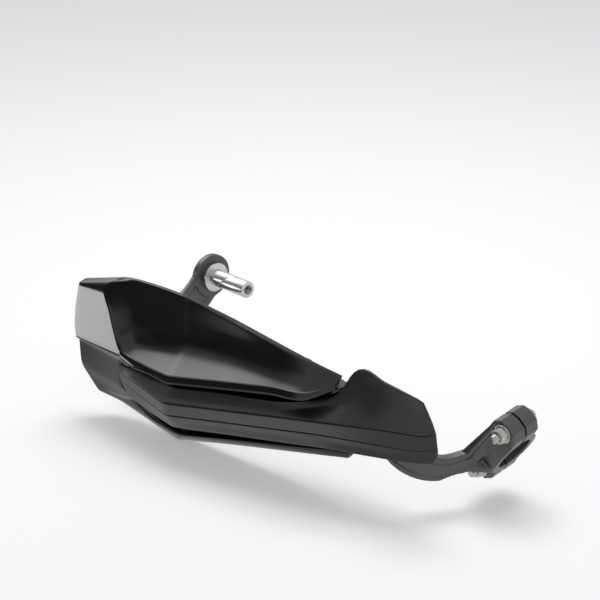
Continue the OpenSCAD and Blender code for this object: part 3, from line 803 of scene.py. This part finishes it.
def toward(tree, vector, direction, start, full):
    """How far a direction points at a place in the studio: 0 at start, 1 at full."""
    node = tree.nodes.new("ShaderNodeVectorMath")
    node.operation = "DOT_PRODUCT"
    tree.links.new(vector, node.inputs[0])
    node.inputs[1].default_value = Vector(direction).normalized()
    ramp = tree.nodes.new("ShaderNodeMapRange")
    ramp.interpolation_type = "SMOOTHSTEP"
    ramp.inputs["From Min"].default_value = start
    ramp.inputs["From Max"].default_value = full
    tree.links.new(node.outputs["Value"], ramp.inputs["Value"])
    return ramp.outputs["Result"]


def make_studio_group():
    group = bpy.data.node_groups.new("Studio glow", "ShaderNodeTree")
    socket(group, "INPUT", "Direction", "NodeSocketVector")
    socket(group, "OUTPUT", "Glow", "NodeSocketFloat")
    start = group.nodes.new("NodeGroupInput")
    end = group.nodes.new("NodeGroupOutput")
    way = start.outputs["Direction"]
    front = toward(group, way, (-0.66, -0.74, 0.07), start=0.7, full=0.97)
    high_left = toward(group, way, (-0.74, 0.1, 0.66), start=0.87, full=0.99)
    darkness = math_node(group, "MULTIPLY", front, room_darkness)
    room = math_node(group, "SUBTRACT", 1.0, darkness)
    glow = math_node(group, "ADD", room, math_node(group, "MULTIPLY", high_left, glow_strength))
    group.links.new(glow, end.inputs["Glow"])
    return group


def add_studio(tree, vector):
    node = tree.nodes.new("ShaderNodeGroup")
    node.node_tree = studio_group
    tree.links.new(vector, node.inputs["Direction"])
    return node.outputs["Glow"]


studio_group = make_studio_group()

# %% [markdown]
# The stage is a pale floor under the lowest point of the guard, white for the camera
# but for the guard's own shadow. In the mirror the floor is pale near the guard and
# takes the studio's tone further out.

# %% Floor
floor_gap = 0.2 * MM
floor_size = 6.0
floor_glow = 0.3
near_tone = 0.8
fade_start, fade_end = 0.16, 0.36
floor_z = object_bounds()[0][2] - floor_gap
floor_centre = (0.1, 0.5, floor_z)
tone_middle = Vector((0.14, -0.04, floor_z))
floor_mesh = bmesh.new()
bmesh.ops.create_grid(floor_mesh, x_segments=1, y_segments=1, size=floor_size)
bmesh.ops.translate(floor_mesh, verts=floor_mesh.verts, vec=floor_centre)
floor_data = bpy.data.meshes.new("pale_floor")
floor_mesh.to_mesh(floor_data)
floor_mesh.free()
floor = bpy.data.objects.new("pale_floor", floor_data)
bpy.context.scene.collection.objects.link(floor)

floor_look = bpy.data.materials.new("Pale floor")
floor_look.use_nodes = True
ft = floor_look.node_tree
ft.nodes.clear()
paint = ft.nodes.new("ShaderNodeBsdfDiffuse")
paint.inputs["Color"].default_value = (0.95, 0.95, 0.95, 1)
glow = ft.nodes.new("ShaderNodeEmission")
glow.inputs["Strength"].default_value = floor_glow
both = ft.nodes.new("ShaderNodeAddShader")
rays = ft.nodes.new("ShaderNodeLightPath")
for_camera = ft.nodes.new("ShaderNodeMixShader")
mirrored_floor = ft.nodes.new("ShaderNodeEmission")
where = ft.nodes.new("ShaderNodeTexCoord")
away = ft.nodes.new("ShaderNodeVectorMath")
away.operation = "SUBTRACT"
away.inputs[1].default_value = tone_middle
heading = ft.nodes.new("ShaderNodeVectorMath")
heading.operation = "NORMALIZE"
far = ft.nodes.new("ShaderNodeVectorMath")
far.operation = "LENGTH"
fade = ft.nodes.new("ShaderNodeMapRange")
fade.interpolation_type = "SMOOTHSTEP"
fade.inputs["From Min"].default_value = fade_start
fade.inputs["From Max"].default_value = fade_end
tone = ft.nodes.new("ShaderNodeMix")
tone.inputs["A"].default_value = near_tone
for_gloss = ft.nodes.new("ShaderNodeMixShader")
out = ft.nodes.new("ShaderNodeOutputMaterial")
ft.links.new(where.outputs["Object"], away.inputs[0])
ft.links.new(away.outputs["Vector"], heading.inputs[0])
ft.links.new(away.outputs["Vector"], far.inputs[0])
ft.links.new(far.outputs["Value"], fade.inputs["Value"])
ft.links.new(fade.outputs["Result"], tone.inputs["Factor"])
ft.links.new(add_studio(ft, heading.outputs["Vector"]), tone.inputs["B"])
ft.links.new(tone.outputs["Result"], mirrored_floor.inputs["Strength"])
ft.links.new(paint.outputs[0], both.inputs[0])
ft.links.new(glow.outputs[0], both.inputs[1])
ft.links.new(rays.outputs["Is Camera Ray"], for_camera.inputs[0])
ft.links.new(paint.outputs[0], for_camera.inputs[1])
ft.links.new(both.outputs[0], for_camera.inputs[2])
ft.links.new(rays.outputs["Is Glossy Ray"], for_gloss.inputs[0])
ft.links.new(for_camera.outputs[0], for_gloss.inputs[1])
ft.links.new(mirrored_floor.outputs[0], for_gloss.inputs[2])
ft.links.new(for_gloss.outputs[0], out.inputs["Surface"])
floor.data.materials.append(floor_look)
print("floor at", round(floor_z, 4))

# %% [markdown]
# The world has three faces: the studio's glow for the mirror, an even grey light for
# everything matt, and plain white for the camera.

# %% World
even_light = 0.4
camera_white = 1.0
world = bpy.data.worlds.new("Studio")
bpy.context.scene.world = world
world.use_nodes = True
wt = world.node_tree
wt.nodes.clear()
sky_way = wt.nodes.new("ShaderNodeTexCoord")
mirrored = wt.nodes.new("ShaderNodeBackground")
even = wt.nodes.new("ShaderNodeBackground")
even.inputs["Strength"].default_value = even_light
white = wt.nodes.new("ShaderNodeBackground")
white.inputs["Strength"].default_value = camera_white
ray = wt.nodes.new("ShaderNodeLightPath")
gloss_mix = wt.nodes.new("ShaderNodeMixShader")
camera_mix = wt.nodes.new("ShaderNodeMixShader")
world_out = wt.nodes.new("ShaderNodeOutputWorld")
wt.links.new(add_studio(wt, sky_way.outputs["Generated"]), mirrored.inputs["Strength"])
wt.links.new(ray.outputs["Is Glossy Ray"], gloss_mix.inputs[0])
wt.links.new(even.outputs[0], gloss_mix.inputs[1])
wt.links.new(mirrored.outputs[0], gloss_mix.inputs[2])
wt.links.new(ray.outputs["Is Camera Ray"], camera_mix.inputs[0])
wt.links.new(gloss_mix.outputs[0], camera_mix.inputs[1])
wt.links.new(white.outputs[0], camera_mix.inputs[2])
wt.links.new(camera_mix.outputs[0], world_out.inputs["Surface"])

# %% [markdown]
# Two lamps do the rest. The soft box hangs overhead, slightly behind the guard, and
# gives the even light and the soft shadow; it is kept out of the mirror, where the
# studio's own glow stands for it. The card at the left is seen only in the mirror, and
# it is what makes the flat side face bright.

# %% Lamps and camera
def soft_box(name, place, target, width, height, radiance):
    lamp = bpy.data.lights.new(name, "AREA")
    lamp.shape = "RECTANGLE"
    lamp.size = width
    lamp.size_y = height
    lamp.energy = radiance * math.pi * width * height
    box = bpy.data.objects.new(name, lamp)
    box.location = Vector(place)
    box.rotation_euler = (Vector(target) - Vector(place)).to_track_quat("-Z", "Y").to_euler()
    bpy.context.scene.collection.objects.link(box)
    print(name, "watts:", round(lamp.energy, 2))
    return box


overhead_box = soft_box("back box", (-0.05, 0.15, 1.2), (0.14, -0.08, 0.0),
                        width=0.8, height=0.8, radiance=4.0)
overhead_box.visible_glossy = False
card = soft_box("left card", (-0.229, -0.286, -0.03), (0.017, -0.118, 0.018),
                width=0.205, height=0.078, radiance=5.6)
card.visible_diffuse = False

camera_data = bpy.data.cameras.new("photo view")
camera_data.sensor_width = 36.0
camera_data.lens = 120.1
camera = bpy.data.objects.new("photo view", camera_data)
camera_place = Vector((1.1474, -0.9671, 0.5697))
right = Vector((0.6779, 0.7351, 0.0))
back = Vector((0.6842, -0.6309, 0.3658))
up = back.cross(right).normalized()
right = up.cross(back).normalized()
turn = Matrix((right, up, back.normalized())).transposed().to_4x4()
camera.matrix_world = Matrix.Translation(camera_place) @ turn
bpy.context.scene.collection.objects.link(camera)
bpy.context.scene.camera = camera

# %% [markdown]
# Colours are wanted as written, so the view transform is the plain one.

# %% Finish
bpy.context.scene.view_settings.view_transform = "Standard"
